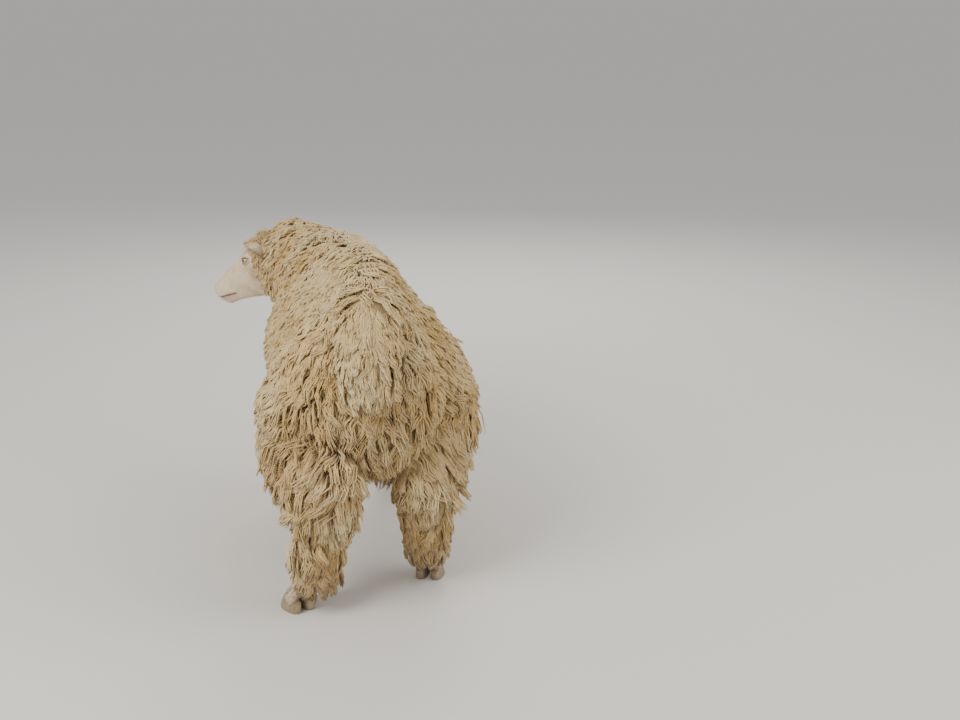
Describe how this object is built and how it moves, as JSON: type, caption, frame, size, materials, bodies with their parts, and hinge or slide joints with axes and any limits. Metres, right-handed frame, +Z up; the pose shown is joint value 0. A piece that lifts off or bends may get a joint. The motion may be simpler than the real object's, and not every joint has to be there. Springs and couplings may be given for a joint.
{
  "type": "ewe",
  "caption": "Life-size still model of a long-woolled ewe standing with her neck bent to the left and her head low.",
  "frame": {"origin": "On the floor under the middle of the ewe's bounding box", "axes": "+Y the way her body faces, +Z up, her left side at -X"},
  "size_m": [0.5982, 1.204, 0.6592],
  "materials": {
    "fleece": "matte cream wool, stained tan in places",
    "face_hair": "short flat hair over skin",
    "bare_skin": "soft bare pink skin",
    "hoof_horn": "dull ridged horn",
    "eye": "wet amber eye with a level pupil"
  },
  "bodies": {
    "root": {"torso": "fleece", "neck": "fleece", "tail": "fleece", "head": "face_hair", "ear_left": "face_hair", "ear_right": "face_hair", "eye_left": "eye", "eye_right": "eye", "udder": "bare_skin", "leg_hind_left": "fleece", "leg_hind_right": "fleece", "leg_front_left": "fleece", "leg_front_right": "fleece", "claw_hind_left_outer": "hoof_horn", "claw_hind_left_inner": "hoof_horn", "claw_hind_right_outer": "hoof_horn", "claw_hind_right_inner": "hoof_horn", "claw_front_left_outer": "hoof_horn", "claw_front_left_inner": "hoof_horn", "claw_front_right_outer": "hoof_horn", "claw_front_right_inner": "hoof_horn"}
  },
  "joints": []
}
